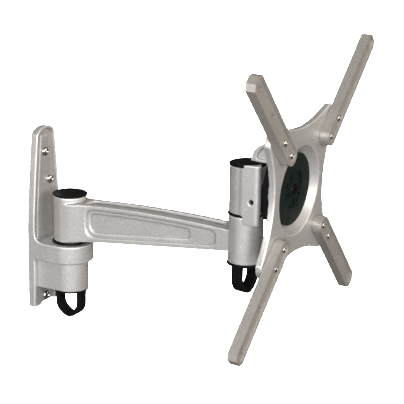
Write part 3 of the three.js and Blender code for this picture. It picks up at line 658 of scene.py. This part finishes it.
# %% Arm
arm_half_width, blank_half = 11, 20
plan_bottom, plan_top = -30, 40
flare_places = (-13, -16, -34)  # along the arm: where the flare leaves the barrel, bends and ends
arm_top = (18.5, 26.55, 20.4)  # heights that bend the top edge: at the wall, the control point, at the head
arm_bottom = (-15, 4.1)
barrel_radius, barrel_height = 14.4, 40
wall_barrel_bottom = -15.9
head_barrel_bottom = -6
recess_step = 0.9
outer_recess = {"top": 3, "bottom": 4, "wall_end": 31.8, "head_end": 27.8}
inner_recess = {"top": 6.6, "bottom": 8, "wall_end": 33.7, "head_end": 49.9}
outer_corners, inner_corners = (9, 6.2), (7.5, 4)  # at the wall end, at the head end
groove_half, groove_depth, groove_start = 6, 2.8, 20
bolt_clear, cap_pocket_depth = 5.45, 8


def arm_top_at(t):
    wall, control, head = arm_top
    return wall * (1 - t) ** 2 + 2 * control * t * (1 - t) + head * t ** 2


def arm_bottom_at(t):
    return arm_bottom[0] + (arm_bottom[1] - arm_bottom[0]) * t


def arm_band(top=0, bottom=0, wall_end=0, head_end=0, steps=30):
    """The upper and lower edges of a band of the arm's side, in Y and Z, with insets in millimetres."""
    first, last = wall_end / arm_length, 1 - head_end / arm_length
    shares = [first + (last - first) * i / steps for i in range(steps + 1)]
    upper = [(-t * arm_length, arm_top_at(t) - top) for t in shares]
    lower = [(-t * arm_length, arm_bottom_at(t) + bottom) for t in shares]
    return upper, lower


def recess_outline(inset, corners):
    upper, lower = arm_band(**inset)
    wall_corner, head_corner = corners
    wall_side, head_side = upper[0][0] + wall_corner, upper[-1][0] - head_corner

    def rounded(edge_point, side, rise):
        """A corner of the recess, from its edge to its end."""
        y, z = edge_point
        return curve((y, z), (side, z), (side, z + rise), steps=10)

    wall_end = rounded(upper[0], wall_side, -wall_corner) + rounded(lower[0], wall_side, wall_corner)[::-1]
    head_end = rounded(lower[-1], head_side, head_corner) + rounded(upper[-1], head_side, -head_corner)[::-1]
    return without_doubles(wall_end + lower + head_end + upper[::-1])


def side_recesses(inset, corners, depth):
    outline = recess_outline(inset, corners)
    for side in (-1, 1):
        walls = sorted((side * (arm_half_width - depth), side * (barrel_radius + past)))
        yield slab(outline, "x", *walls)


def arm_plan():
    """The arm from above, in X and Y: straight, and flared out to touch the wall barrel."""
    flare, straight = barrel_radius - 5 * hair, arm_half_width
    leave, bend, end = flare_places
    right = curve((flare, 0), (flare, leave), (straight, bend), (straight, end), steps=20)
    return without_doubles(mirrored([*right, (straight, barrel_radius / 2 - arm_length)]))


def top_groove():
    steps = 24
    ends = (groove_start, arm_length - groove_start)
    places = [ends[0] + (ends[1] - ends[0]) * i / steps for i in range(steps + 1)]
    floor = [(-place, arm_top_at(place / arm_length) - groove_depth) for place in places]
    above = max(arm_top) + past
    return slab([*floor, (floor[-1][0], above), (floor[0][0], above)], "x", -groove_half, groove_half)


def at_arm_head(piece):
    return shifted(piece, y=-arm_length)


def arm_casting():
    upper, lower = arm_band()
    beam = slab(lower + upper[::-1], "x", -blank_half, blank_half)
    combined(beam, [slab(arm_plan(), "z", plan_bottom, plan_top)], "INTERSECT")
    cut(beam, *side_recesses(outer_recess, outer_corners, recess_step),
        *side_recesses(inner_recess, inner_corners, 2 * recess_step), top_groove())
    wall_top, head_top = wall_barrel_bottom + barrel_height, head_barrel_bottom + barrel_height
    joined(beam, rod(barrel_radius, wall_barrel_bottom, wall_top, barrel_steps),
           at_arm_head(rod(barrel_radius, head_barrel_bottom, head_top, barrel_steps)))
    cut(beam, rod(bolt_clear, wall_barrel_bottom - past, wall_top + past),
        rod(pocket_radius, wall_top - cap_pocket_depth, wall_top + past),
        at_arm_head(rod(stem_clear, head_barrel_bottom - past, head_top + past)),
        at_arm_head(rod(pocket_radius, head_barrel_bottom - past, head_barrel_bottom + nut_pocket_depth)))
    return cast(at_wall_pivot(beam))


finish(arm_casting(), "arm_casting", "arm", silver, "silver_paint", "arm")

# %% [markdown]
# ## The knuckle
# The knuckle is a barrel that turns on the arm's head, with a square block in front of it. The block flares
# out to be a little wider than the barrel, and its front edges are rounded. Its sides are cheeks that guard
# the tilt bracket between them, and its skirt hangs past the washer.

# %% Knuckle
block_reach, block_bottom, block_top = 18, 29, 78.4
block_half, block_flare, block_corner = 15.2, 3, 4
cheek_thick = 4
knuckle_bottom, knuckle_top = 36.1, 75.1
skirt_clear, cap_clear = 15.4, 15.5
tilt_reach = head_pivot_y - tilt_y
tongue_clear, tilt_room = 4.9, 4.8
sight_radius = 2.1
bolt_seat_radius, bolt_seat_depth = 4.5, 3.1


def block_outline():
    half, front = block_half, -block_reach
    corner = curve((half, front + block_corner), (half, front), (half - block_corner, front), steps=10)
    return mirrored([(barrel_radius, 0), (half, -block_flare), *corner])


def opening(half, back, front, low, high):
    """A cut from back to front, as wide on the left as on the right."""
    return slab([(-half, front), (half, front), (half, back), (-half, back)], "z", low, high)


def knuckle_casting():
    block = slab(block_outline(), "z", block_bottom, block_top)
    cut(block, rod(skirt_clear, block_bottom - past, knuckle_bottom, barrel_steps),
        rod(cap_clear, knuckle_top, block_top + past, barrel_steps))
    joined(block, rod(barrel_radius, knuckle_bottom, knuckle_top, barrel_steps))
    slot_back = -barrel_radius - 2 * gap
    cut(block, rod(bolt_clear, knuckle_bottom - past, knuckle_top + past),
        rod(pocket_radius, knuckle_top - cap_pocket_depth, knuckle_top + past),
        opening(barrel_radius - cheek_thick, slot_back, -block_reach - past, block_bottom - past,
                block_top + past),
        opening(tongue_clear, tilt_room - tilt_reach, slot_back - past, tilt_z - tilt_room,
                tilt_z + tilt_room))
    hole = moved(rod(sight_radius, -barrel_radius - past, 0), SIDEWAYS)
    bolt_seat = moved(rod(bolt_seat_radius, barrel_radius - bolt_seat_depth, barrel_radius + past), SIDEWAYS)
    cut(block, shifted(hole, y=-tilt_reach, z=tilt_z), shifted(bolt_seat, y=-tilt_reach, z=tilt_z))
    return cast(shifted(block, y=head_pivot_y), fine_grain)


finish(knuckle_casting(), "knuckle_casting", "knuckle", silver, "silver_paint", "knuckle")

# %% [markdown]
# ## The tilt bracket
# A tongue reaches back between the knuckle's cheeks to the tilt bolt. A round base in front carries the star
# plate, and a horn, hollowed on both sides, rises behind it in a quarter arc. All are drawn about the tilt
# axis, then set at the tilt in which the mount rests.

# %% Tilt bracket
tongue_half = 4.6
neck_bottom, neck_top = -13.5, 31
horn_height, horn_back, horn_upright = 47, 7.6, 0.55
base_back, base_thick, base_radius = 17.1, 4, 21.5
lean_back, lean_forward = math.radians(8.5), math.radians(18)
hollow_wall, hollow_across, hollow_up = (3.2, 2.4), 0.8, 0.74  # its walls, then shares of the horn's size
hollow_depth, hollow_front = 1, 2
eye_radius, eye_half, eye_link_half, eye_sunk = 4.2, 3.8, 3.4, 2
tilt_bolt_clear, centre_bolt_clear = 2.65, 3.2
centre_bolt_end = base_back - 8


def neck_back(height):
    lean = lean_back if height > 0 else lean_forward
    return barrel_radius + 3 * gap - tilt_reach + abs(height) * math.tan(lean)


def tongue_outline():
    front = -base_back - past
    back = [(front, neck_bottom), *[(-neck_back(z), z) for z in (neck_bottom, 0, neck_top)]]
    upright = neck_top + (horn_height - neck_top) * horn_upright
    horn = curve((horn_back, neck_top), (horn_back, upright), (horn_back / 4, horn_height),
                 (-horn_back, horn_height), steps=20)
    return [*back, *horn, (front, horn_height)]


def tilt_bracket_casting():
    tongue = slab(tongue_outline(), "x", -tongue_half, tongue_half)
    horn = tongue_outline()[4:-1]
    hollow_base, hollow_end = neck_top + hollow_wall[1], -base_back - hollow_front
    hollow = [(a * hollow_across - hollow_wall[0], hollow_base + (b - neck_top) * hollow_up) for a, b in horn]
    hollow = [*hollow, (hollow_end, hollow[-1][1]), (hollow_end, hollow_base)]
    for side in (-1, 1):
        outside = side * (tongue_half + past)
        cut(tongue, slab(hollow, "x", *sorted((side * (tongue_half - hollow_depth), outside))))
        cut(tongue, moved(rod(eye_radius + gap, *sorted((side * eye_half, outside))), SIDEWAYS))
    base = shifted(moved(rod(base_radius, base_back, base_back + base_thick), FORWARD), z=plate_rise)
    link_end = -neck_back(0) - eye_sunk
    eye = slab([(link_end, eye_link_half), (link_end, -eye_link_half), *arc((0, 0), eye_radius, -90, 90)],
               "x", -eye_half, eye_half)
    joined(tongue, base, eye)
    bolt_hole = moved(rod(centre_bolt_clear, centre_bolt_end - gap, base_back + base_thick + past), FORWARD)
    cut(tongue, moved(rod(tilt_bolt_clear, -barrel_radius, barrel_radius), SIDEWAYS),
        shifted(bolt_hole, z=plate_rise))
    return cast(moved(tongue, tilt_place), fine_grain, passes=4)


finish(tilt_bracket_casting(), "tilt_bracket_casting", "tilt", silver, "silver_paint", "tilt_bracket")

# %% [markdown]
# ## The star plate
# The star plate is a thick four-armed star with hollow sides. Its middle is a dish with sloping walls that
# holds the friction disc, and the screen arms lie flat on its four lobes. It is drawn flat about its own
# centre and turned on to the tilt bracket.

# %% Star plate
plate_reach = 43  # tilt axis to the front of the screen arms
bar_depth, bar_width, bar_tip, bar_chamfer = 8.2, 15.5, 152.5, 4
star_front = plate_reach - bar_depth - gap
star_thick, star_steps = 5.4, 160
star_back = star_front - star_thick
lobe_centre, lobe_radius = 47, 14
waist_across, waist_up = 45.5, 51.5
dish_floor_back, dish_floor_thick = 24.2, 2.5
dish_floor_front = dish_floor_back + dish_floor_thick
dish_floor_radius, dish_mouth_radius, dish_wall, dish_rim, dish_seam = 29.6, 36.5, 2.6, 3, 0.5
hole_pitches = (75, 100, 150, 200)  # the square screw patterns of screens
bar_angles = {"upper_right": 45, "upper_left": 135, "lower_left": 225, "lower_right": 315}


def star_outline():
    radius = lobe_radius
    reach = lobe_centre + radius
    pull_in = {"x": 2 * waist_across - reach, "z": 2 * waist_up - reach}
    outline = []
    for quarter, (x, z) in enumerate([(1, 1), (-1, 1), (-1, -1), (1, -1)]):
        outline += arc((x * lobe_centre, z * lobe_centre), radius, 90 * quarter, 90 * quarter + 90, 12)
        if quarter % 2:
            middle, end = (x * pull_in["x"], 0), (x * reach, -z * lobe_centre)
        else:
            middle, end = (0, z * pull_in["z"]), (-x * lobe_centre, z * reach)
        outline += curve(outline[-1], middle, end, steps=28)
    return without_doubles(outline)


def hole_distance(pitch):
    return pitch / math.sqrt(2)


def bar_outline(inset, steps=24):
    """A screen arm along X, with a round inner end about its first screw and a chamfered tip."""
    half = bar_width / 2 - inset
    start, end, chamfer = hole_distance(hole_pitches[0]), bar_tip - inset, bar_chamfer - inset / 2
    tip = [(end - chamfer, -half), (end, -half + chamfer), (end, half - chamfer), (end - chamfer, half)]
    return tip + arc((start, 0), half, 90, 270, steps)


def turned_by(degrees):
    """A turn in the plane of the star plate, from the right towards the top."""
    return Matrix.Rotation(-math.radians(degrees), 4, "Y")


def star_dish():
    return moved(turned([
        (0, dish_floor_back), (dish_floor_radius + dish_wall, dish_floor_back),
        (dish_mouth_radius + dish_wall, star_back + gap), (dish_mouth_radius + dish_rim, star_front),
        (dish_mouth_radius, star_front),
        (dish_floor_radius, dish_floor_front), (0, dish_floor_front)], star_steps), FORWARD)


def star_casting():
    star = slab(star_outline(), "y", -star_front, -star_back)
    cut(star, moved(rod(dish_mouth_radius + dish_seam, 0, plate_reach, star_steps), FORWARD))
    joined(star, star_dish())
    cut(star, moved(rod(centre_bolt_clear, 0, plate_reach), FORWARD))
    return cast(moved(star, plate_place))


finish(star_casting(), "star_plate_casting", "plate", silver, "silver_paint", "star_plate")

# %% [markdown]
# ## The screen arms
# Four equal bars carry the screen. One is modelled: a slab with a round inner end and a chamfered tip, a
# shallow channel along its front, four screw holes and a small bevel. The others are copies, a quarter turn
# apart.

# %% Screen arms
bar_rim, bar_channel, bar_bevel = 2.2, 1.5, 0.55
bar_hole_radius, bar_hole_steps = 2.5, 32


def screen_arm_blank():
    bar = slab(bar_outline(0), "y", -plate_reach, -plate_reach + bar_depth)
    cut(bar, slab(bar_outline(bar_rim), "y", -plate_reach - past, -plate_reach + bar_channel))
    for pitch in hole_pitches:
        drill = moved(rod(bar_hole_radius, 0, plate_reach + past, bar_hole_steps), FORWARD)
        cut(bar, shifted(drill, x=hole_distance(pitch)))
    return machined(bar, bar_bevel)


arm_blank = screen_arm_blank()
for place, angle in bar_angles.items():
    arm_copy = copied(arm_blank, plate_place @ turned_by(angle))
    finish(arm_copy, "screen_arm_cast_" + place, "plate", plain_silver, "silver_paint", "screen_arm_" + place)
bpy.data.objects.remove(arm_blank)

# %% [markdown]
# ## Screws
# The wall screws and the arm screws have domed heads with a cross recess. A quarter of an ellipse is spun
# into the dome, and two crossed wedges cut the recess.

# %% Screws
head_rim, dome_steps, screw_steps = 0.4, 12, 64
small_bevel = 0.12
wall_screw_size, arm_screw_size = (4.2, 2.8, 2.4), (2.6, 1.3, 2)  # head radius, head height, shank radius
recess_width, recess_depth = 1.25, 0.55  # as shares of the head's radius and of its height


def cross_recess(width, top, depth):
    """Two crossed blades that narrow towards the bottom."""
    blade = [(-width / 2, top + past), (-width / 4, top - depth), (width / 4, top - depth),
             (width / 2, top + past)]
    first = slab(blade, "y", -width / 9, width / 9)
    second = copied(first, Matrix.Rotation(math.radians(90), 4, "Z"))
    return joined(first, second)


def domed_screw(head_radius, head_height, shank_radius, seat, end):
    dome = [(head_radius * math.cos(a), seat + head_rim + (head_height - head_rim) * math.sin(a))
            for a in [math.radians(90 * i / dome_steps) for i in range(dome_steps + 1)]]
    dome[-1] = (0, seat + head_height)
    shank = [(0, end), (shank_radius, end), (shank_radius, seat)]
    screw = turned([*shank, (head_radius, seat), *dome], screw_steps)
    cut(screw, cross_recess(head_radius * recess_width, seat + head_height, head_height * recess_depth))
    return moved(machined(screw, small_bevel, 2), FORWARD)


for place, (x, z) in wall_screw_places.items():
    seat = gap - floor_front + (0 if place == "low" else panel_height)
    screw = shifted(domed_screw(*wall_screw_size, seat, 2 * hair), x=x, z=z)
    finish(screw, "wall_screw_steel_" + place, "wall", bright_steel, "bright_screw", "wall_screw_" + place)

arm_screw = domed_screw(*arm_screw_size, plate_reach - bar_channel + gap, star_back)
for place, angle in bar_angles.items():
    for pitch, end in zip(hole_pitches, ("inner", "outer")):
        way = plate_place @ turned_by(angle) @ Matrix.Translation(metres(hole_distance(pitch), 0, 0))
        finish(copied(arm_screw, way), f"arm_screw_steel_{place}_{end}", "plate", bright_steel,
               "bright_screw", f"arm_screw_{place}_{end}")
bpy.data.objects.remove(arm_screw)

# %% [markdown]
# ## Caps and washers
# A black cap closes each barrel from above and a black washer lies between the parts that turn. They are
# spun. A cap has a rounded edge, a slightly sunk top and a ring that presses into the barrel.

# %% Caps and washers
cap_radius, cap_thick, spigot_depth, spigot_wall = 15.2, 1.5, 3.5, 1.2
cap_round_low, cap_round_in = 0.5, 1.1
cap_panel_rim, cap_panel_floor, cap_panel_depth = 13.3, 12.9, 0.35  # the sunk middle of its top
washer_thick, washer_bore, washer_bevel = 1.5, 4.25, 0.35
wall_washer_radius, head_washer_radius = 15.7, 15.1


def cap(seat):
    outer, under, over = pocket_radius - gap, seat + gap, seat + gap + cap_thick
    ring = [(outer - spigot_wall, under), (outer - spigot_wall, seat - spigot_depth),
            (outer, seat - spigot_depth), (outer, under)]
    edge = curve((cap_radius, under + cap_round_low), (cap_radius, over), (cap_radius - cap_round_in, over),
                 steps=6)
    panel = over - cap_panel_depth
    top = [(cap_panel_rim, over), (cap_panel_floor, panel), (0, panel)]
    profile = [(0, under), *ring, (cap_radius - gap, under), *edge, *top]
    return machined(turned(profile, barrel_steps), small_bevel, 2)


def washer(low, radius):
    high = low + washer_thick
    profile = [(washer_bore, low), (radius, low), (radius, high), (washer_bore, high)]
    return machined(turned(profile, barrel_steps), washer_bevel)


finish(at_wall_pivot(cap(wall_barrel_bottom + barrel_height)), "wall_cap_moulding", "arm", black_nylon,
       "black_plastic", "wall_cap")
finish(shifted(cap(knuckle_top), y=head_pivot_y), "head_cap_moulding", "knuckle", black_nylon,
       "black_plastic", "head_cap")
finish(at_wall_pivot(washer(shelf_top + gap, wall_washer_radius)), "wall_washer_moulding", "wall",
       black_nylon, "black_plastic", "wall_pivot_washer")
head_washer = washer(head_barrel_bottom + barrel_height + gap, head_washer_radius)
finish(shifted(head_washer, y=head_pivot_y), "head_washer_moulding", "arm", black_nylon, "black_plastic",
       "head_pivot_washer")

# %% [markdown]
# ## Cable clips
# Under each pivot a clip closes the nut's pocket and holds the cables: a round plate with a ring that
# presses in, and two springy legs that meet in a point with a slit between them.

# %% Cable clips
clip_width, clip_strap, clip_depth, clip_drop = 26, 4.4, 9, 25.5
clip_straight, clip_slit, clip_plate = 11, 1, 1.6
clip_bend_outside, clip_bend_inside = 0.86, 0.66  # where the legs turn in, as shares of their drop
clip_bevel = 0.6
wall_clip_turn, head_clip_turn = 90, -8  # degrees about the pivot


def clip_leg(top):
    outer, inner, meet = clip_width / 2, clip_width / 2 - clip_strap, clip_slit / 2
    point = top - clip_drop
    outside = curve((outer, top - clip_straight), (outer, top - clip_drop * clip_bend_outside), (meet, point))
    inside = curve((meet, point + clip_strap), (inner, top - clip_drop * clip_bend_inside),
                   (inner, top - clip_straight))
    return [(inner, top + gap), *reversed(inside), *reversed(outside), (outer, top + gap)]


def cable_clip(seat, degrees):
    top = seat - gap
    low = top - clip_plate
    legs = [slab([(side * a, b) for a, b in clip_leg(low)], "y", -clip_depth / 2, clip_depth / 2)
            for side in (-1, 1)]
    outer, inner, ring_top = pocket_radius - gap, pocket_radius - gap - spigot_wall, seat + spigot_depth
    ring = turned([(inner, low + gap), (outer, low + gap), (outer, ring_top), (inner, ring_top)])
    clip = machined(joined(rod(cap_radius, low, top, barrel_steps), ring, *legs), clip_bevel)
    return moved(clip, Matrix.Rotation(math.radians(degrees), 4, "Z"))


finish(at_wall_pivot(cable_clip(boss_bottom, wall_clip_turn)), "wall_cable_clip_moulding", "wall",
       black_nylon, "black_plastic", "wall_cable_clip")
finish(shifted(cable_clip(head_barrel_bottom, head_clip_turn), y=head_pivot_y), "head_cable_clip_moulding",
       "arm", black_nylon, "black_plastic", "head_cable_clip")

# %% [markdown]
# ## The turning head
# Two friction discs clamp the star plate's dish on a centre bolt. The front one shows: a flat green-black
# disc with eight slots round a hub, which don't go through. Black pads fill the sides of the tilt bracket.

# %% Discs, pads and centre bolt
front_disc_back = dish_floor_front + gap
disc_thick, disc_steps, disc_bevel = 2.5, 144, 0.3
front_disc_front = front_disc_back + disc_thick
hub_radius, hub_height, hub_wall = 6.3, 1.2, 1.5
slot_count, slot_inner, slot_outer, slot_bridge, slot_floor = 8, 7.6, 15.4, 1.5, 0.7
pad_half, pad_top, pad_bevel = 9.2, 32.6, 0.5
bolt_shank_radius, bolt_head_radius, bolt_head_height = 2.9, 4.4, 2.4
socket_radius, socket_floor, bolt_bevel = 2.2, 1, 0.2


def disc_slot():
    """One slot between two circles, with a bridge of even width on each side of it."""
    step = 360 / slot_count
    inner = step / 2 - math.degrees(slot_bridge / slot_inner / 2)
    outer = step / 2 - math.degrees(slot_bridge / slot_outer / 2)
    return arc((0, 0), slot_outer, -outer, outer, 10) + arc((0, 0), slot_inner, inner, -inner, 6)


def front_disc():
    edge, hub_top, hub_floor = dish_floor_radius - gap, front_disc_front + hub_height, front_disc_front - past
    disc = turned([
        (centre_bolt_clear, front_disc_back), (edge, front_disc_back), (edge, front_disc_front),
        (hub_radius, front_disc_front), (hub_radius, hub_top), (hub_radius - hub_wall, hub_top),
        (hub_radius - hub_wall, hub_floor), (centre_bolt_clear, hub_floor)], disc_steps)
    for index in range(slot_count):
        slot = slab(disc_slot(), "z", front_disc_back + slot_floor, front_disc_front + past)
        cut(disc, moved(slot, Matrix.Rotation(math.radians(360 / slot_count * index), 4, "Z")))
    return moved(machined(disc, disc_bevel, 2), FORWARD)


def pad(side):
    outline = [(-base_back + gap, neck_bottom), *[(-neck_back(z), z) for z in (neck_bottom, 0, pad_top)],
               (-base_back + gap, pad_top)]
    walls = sorted((side * (tongue_half + gap), side * pad_half))
    return moved(machined(slab(outline, "x", *walls), pad_bevel), tilt_place)


def centre_bolt():
    seat = front_disc_front - past + gap
    head_top = seat + bolt_head_height
    bolt = turned([(0, centre_bolt_end), (bolt_shank_radius, centre_bolt_end), (bolt_shank_radius, seat),
                   (bolt_head_radius, seat), (bolt_head_radius, head_top), (0, head_top)], screw_steps)
    socket = rod(socket_radius, seat + socket_floor, head_top + past, 6)
    return moved(machined(cut(bolt, socket), bolt_bevel, 2), FORWARD)


finish(moved(front_disc(), plate_place), "front_friction_disc_moulding", "tilt", green_black,
       "green_black_plastic", "front_friction_disc")
finish(moved(centre_bolt(), plate_place), "centre_bolt_steel", "tilt", black_steel, "black_steel",
       "rotation_bolt")
for side, name in ((-1, "left"), (1, "right")):
    finish(pad(side), "tilt_pad_moulding_" + name, "tilt", black_nylon, "black_plastic", "tilt_pad_" + name)

# %% [markdown]
# ## Hardware that stays as the CAD has it
# Bolts, nuts, bushes and washers inside the pivots already have their true shape. They keep it, and only
# get their finish.

# %% Finishes of the remaining nodes
finishes = {"zinc_steel": zinc_steel, "black_steel": black_steel, "natural_nylon": white_nylon,
            "black_plastic": black_nylon}
slots = {part["node"]: part["material_slot"] for part in frame["record"]["subparts"]}
replaced = {node for piece in bpy.data.objects for node in piece.get("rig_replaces", [])}
# The tilt bolt's black steel finish darkens the knuckle's sight hole as painted shade.
for name, node in frame["nodes"].items():
    if slots[name] in finishes and name not in replaced:
        node.data.materials.clear()
        node.data.materials.append(finishes[slots[name]])
        print(name, "is", slots[name])
